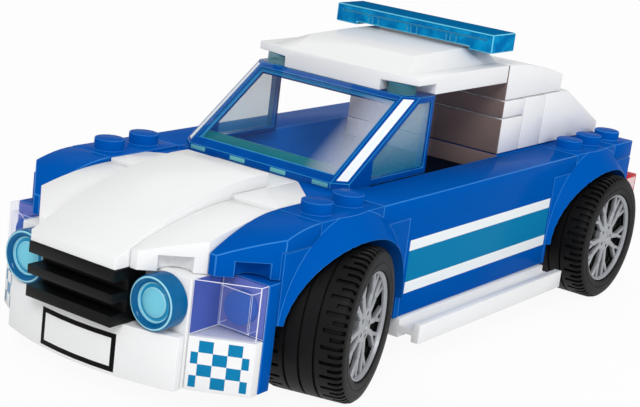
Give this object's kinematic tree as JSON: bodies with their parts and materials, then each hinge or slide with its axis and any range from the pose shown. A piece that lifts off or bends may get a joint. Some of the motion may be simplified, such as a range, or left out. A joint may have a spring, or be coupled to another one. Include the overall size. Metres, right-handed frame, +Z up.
{
  "type": "building block car",
  "caption": "Six stud wide building block patrol car in blue and white, with steered front wheels, a raked blue windscreen, open side windows and a roof light bar.",
  "frame": {"origin": "on the ground, in the middle of the overall box", "axes": "+Z up, -Y towards the front of the car, +X towards the car's left side"},
  "size_m": [0.0638, 0.1328, 0.0488],
  "materials": {
    "blue_plastic": "glossy moulded plastic",
    "white_plastic": "glossy moulded plastic",
    "black_plastic": "glossy moulded plastic",
    "grey_plastic": "glossy moulded plastic",
    "silver_plastic": "satin silver-grey plastic",
    "tyre_rubber": "matt moulded rubber",
    "clear_plastic": "clear plastic",
    "clear_blue_plastic": "clear light blue plastic",
    "blue_glazing": "clear blue plastic",
    "clear_red_plastic": "clear red plastic"
  },
  "bodies": {
    "body": {"door_left": "blue_plastic", "door_right": "blue_plastic", "front_fender_left": "blue_plastic", "front_fender_right": "blue_plastic", "rear_fender_left": "blue_plastic", "rear_fender_right": "blue_plastic", "shoulder_tile_left": "blue_plastic", "shoulder_tile_right": "blue_plastic", "rear_corner_plate_left": "blue_plastic", "rear_corner_plate_right": "blue_plastic", "hood_flank_blue_left": "blue_plastic", "hood_flank_blue_right": "blue_plastic", "corner_bracket_left": "blue_plastic", "corner_bracket_right": "blue_plastic", "firewall": "blue_plastic", "tail_block": "blue_plastic", "sill_left": "white_plastic", "sill_right": "white_plastic", "hood_panel": "white_plastic", "hood_flank_white_left": "white_plastic", "hood_flank_white_right": "white_plastic", "hood_side_tile_left": "white_plastic", "hood_side_tile_right": "white_plastic", "scuttle_plate": "white_plastic", "nose_block": "white_plastic", "front_bumper": "white_plastic", "checker_tile_left": "white_plastic", "checker_tile_right": "white_plastic", "roof_panel": "white_plastic", "rear_brick_front": "white_plastic", "rear_brick_middle": "white_plastic", "rear_brick_back": "white_plastic", "rear_plate": "white_plastic", "rear_roof_bow": "white_plastic", "rear_slope": "white_plastic", "rear_bumper": "white_plastic", "grille": "black_plastic", "chassis_plate": "grey_plastic", "front_axle_block": "grey_plastic", "rear_axle_block": "grey_plastic", "corner_lamp_left": "clear_plastic", "corner_lamp_right": "clear_plastic", "headlight_left": "clear_blue_plastic", "headlight_right": "clear_blue_plastic", "light_bar": "clear_blue_plastic", "windscreen": "blue_glazing", "rear_lamp_left": "clear_red_plastic", "rear_lamp_right": "clear_red_plastic"},
    "knuckle_left": {"steering_knuckle_left": "grey_plastic", "kingpin_left": "silver_plastic"},
    "knuckle_right": {"steering_knuckle_right": "grey_plastic", "kingpin_right": "silver_plastic"},
    "wheel_front_left": {"rim_front_left": "silver_plastic", "tyre_front_left": "tyre_rubber"},
    "wheel_front_right": {"rim_front_right": "silver_plastic", "tyre_front_right": "tyre_rubber"},
    "wheel_rear_left": {"rim_rear_left": "silver_plastic", "tyre_rear_left": "tyre_rubber"},
    "wheel_rear_right": {"rim_rear_right": "silver_plastic", "tyre_rear_right": "tyre_rubber"}
  },
  "joints": [
    {"name": "steer_left", "type": "hinge", "parent": "body", "child": "knuckle_left", "pos_m": [0.0221, -0.03629, 0.0116], "axis": [0, 0, 1], "range_deg": [-30, 0]},
    {"name": "spin_front_left", "type": "hinge", "parent": "knuckle_left", "child": "wheel_front_left", "pos_m": [0.02287, -0.03608, 0.0116], "axis": [0.9659, 0.2588, 0], "continuous": true},
    {"name": "spin_rear_left", "type": "hinge", "parent": "body", "child": "wheel_rear_left", "pos_m": [0.0229, 0.0456, 0.0116], "axis": [1, 0, 0], "continuous": true},
    {"name": "steer_right", "type": "hinge", "parent": "body", "child": "knuckle_right", "pos_m": [-0.0221, -0.03629, 0.0116], "axis": [0, 0, 1], "range_deg": [-30, 0]},
    {"name": "spin_front_right", "type": "hinge", "parent": "knuckle_right", "child": "wheel_front_right", "pos_m": [-0.02287, -0.0365, 0.0116], "axis": [0.9659, 0.2588, 0], "continuous": true},
    {"name": "spin_rear_right", "type": "hinge", "parent": "body", "child": "wheel_rear_right", "pos_m": [-0.0229, 0.0456, 0.0116], "axis": [1, 0, 0], "continuous": true}
  ]
}
